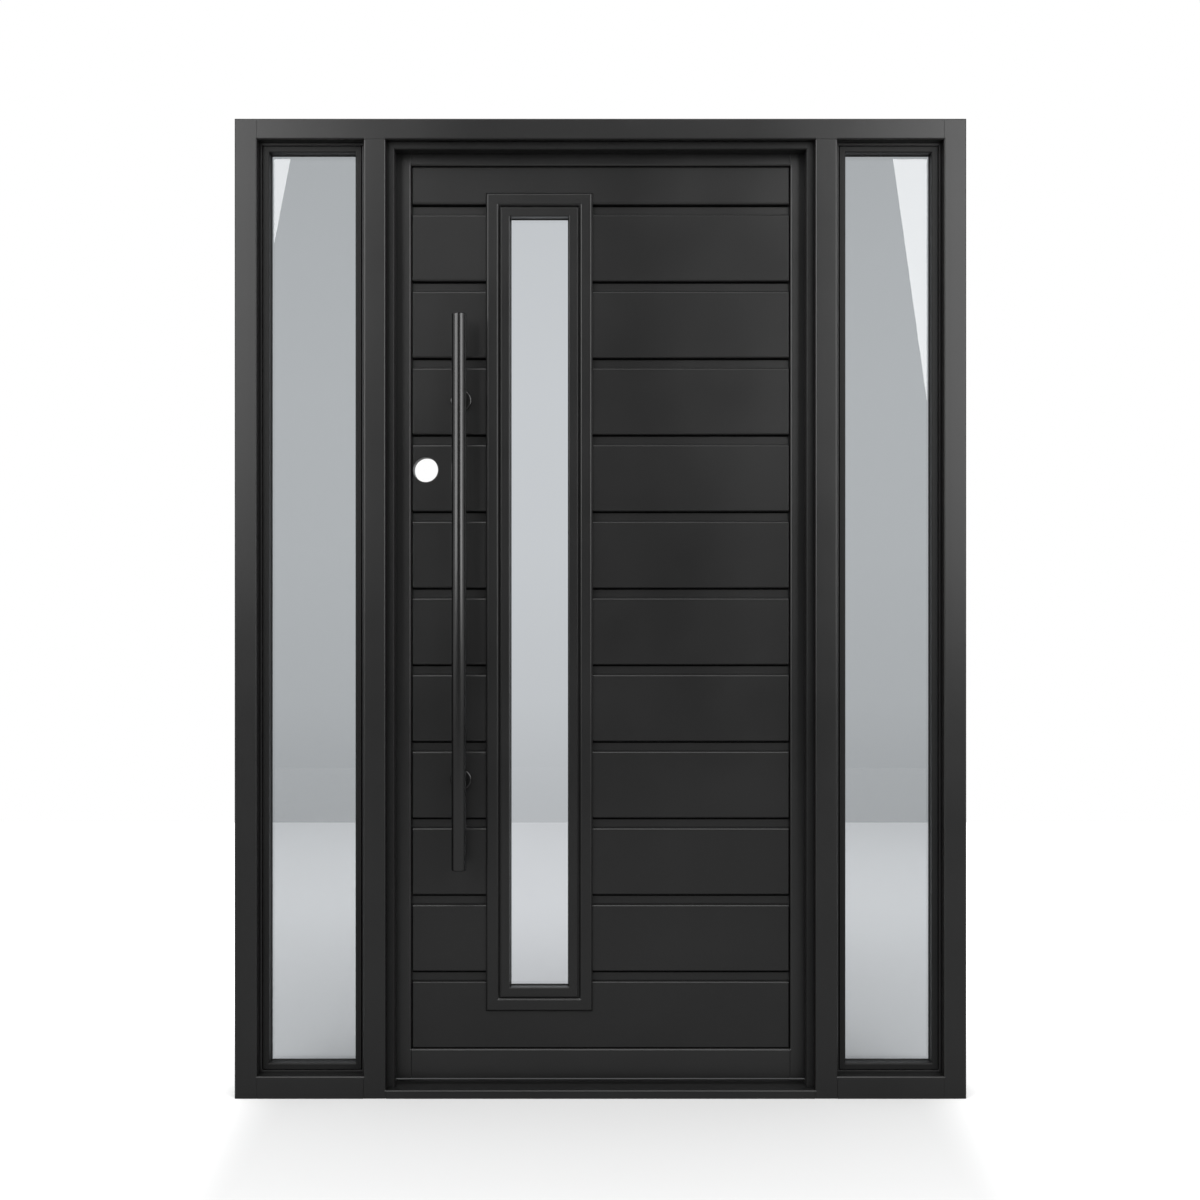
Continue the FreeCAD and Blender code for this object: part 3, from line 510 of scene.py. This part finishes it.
def make_world():
    """White to the camera; to all else a dim room in front of the door and a grey sky behind it."""
    world = bpy.data.worlds.new("studio")
    bpy.context.scene.world = world
    world.use_nodes = True
    tree = world.node_tree
    tree.nodes.clear()
    rays = tree.nodes.new("ShaderNodeLightPath")
    x, y, z = coordinates(tree, "Generated")
    sides = fade(tree, calculate(tree, "ABSOLUTE", x), SIDES_SPAN, 0.0, SIDES)
    above = fade(tree, z, ABOVE_SPAN, 0.0, ABOVE)
    room_light = calculate(tree, "ADD", calculate(tree, "MAXIMUM", sides, above), ROOM)
    behind = fade(tree, y, BEHIND_SPAN, 0.0, 1.0)
    sky_share = calculate(tree, "MAXIMUM", behind, rays.outputs["Is Transmission Ray"])
    mix = tree.nodes.new("ShaderNodeMixRGB")
    tree.links.new(sky_share, mix.inputs["Fac"])
    tree.links.new(room_light, mix.inputs["Color1"])
    tree.links.new(sky_colour(tree, z), mix.inputs["Color2"])
    room = tree.nodes.new("ShaderNodeBackground")
    tree.links.new(mix.outputs["Color"], room.inputs["Color"])
    white = tree.nodes.new("ShaderNodeBackground")
    white.inputs["Color"].default_value = WHITE
    seen = tree.nodes.new("ShaderNodeMixShader")
    tree.links.new(rays.outputs["Is Camera Ray"], seen.inputs["Fac"])
    tree.links.new(room.outputs["Background"], seen.inputs[1])
    tree.links.new(white.outputs["Background"], seen.inputs[2])
    output = tree.nodes.new("ShaderNodeOutputWorld")
    tree.links.new(seen.outputs["Shader"], output.inputs["Surface"])


# Softboxes: name, place, the point that it looks at, width, height and radiance

LAMPS = [
    ("left_lamp", (-2.315, -2.65, 2.45), (0.0, 0.0, 1.05), 2.4, 2.8, 4.1),
    ("right_lamp", (2.18, -2.70, 2.3), (0.0, 0.0, 1.25), 2.2, 2.8, 4.5),
    ("top_lamp", (0.0, -1.9, 3.9), (0.0, 0.0, 1.3), 2.6, 1.2, 3.0),
]


def make_lamp(name, place, target, width, height, radiance):
    """A softbox that lights and is reflected, but doesn't show through glass."""
    data = bpy.data.lights.new(name, "AREA")
    data.shape = "RECTANGLE"
    data.size = width
    data.size_y = height
    data.energy = radiance * math.pi * width * height
    lamp = bpy.data.objects.new(name, data)
    lamp.location = place
    lamp.rotation_euler = (Vector(target) - Vector(place)).to_track_quat("-Z", "Y").to_euler()
    lamp.visible_transmission = False
    bpy.context.collection.objects.link(lamp)


def make_lamps():
    """The softboxes in front of the door and above it."""
    for lamp in LAMPS:
        make_lamp(*lamp)


# The photograph's camera looks straight at the front of the frame

CAMERA_ACROSS = -0.001
CAMERA_HEIGHT = 1.0726
CAMERA_DISTANCE = 3.583
LENS_MM = 50
SENSOR_MM = 36


def make_camera():
    """A level camera, its distance taken from the outside face of the frame."""
    data = bpy.data.cameras.new("camera")
    data.lens = LENS_MM
    data.sensor_width = SENSOR_MM
    camera = bpy.data.objects.new("camera", data)
    camera.location = (CAMERA_ACROSS, face_of("jamb_left", -1) - CAMERA_DISTANCE, CAMERA_HEIGHT)
    camera.rotation_euler = (math.pi / 2, 0.0, 0.0)
    bpy.context.collection.objects.link(camera)
    bpy.context.scene.camera = camera


dress_nodes()
make_gaskets()
make_all_groove_shadows()
make_hinge_screws()
make_floor()
make_world()
make_lamps()
make_camera()
bpy.context.scene.view_settings.view_transform = "Standard"
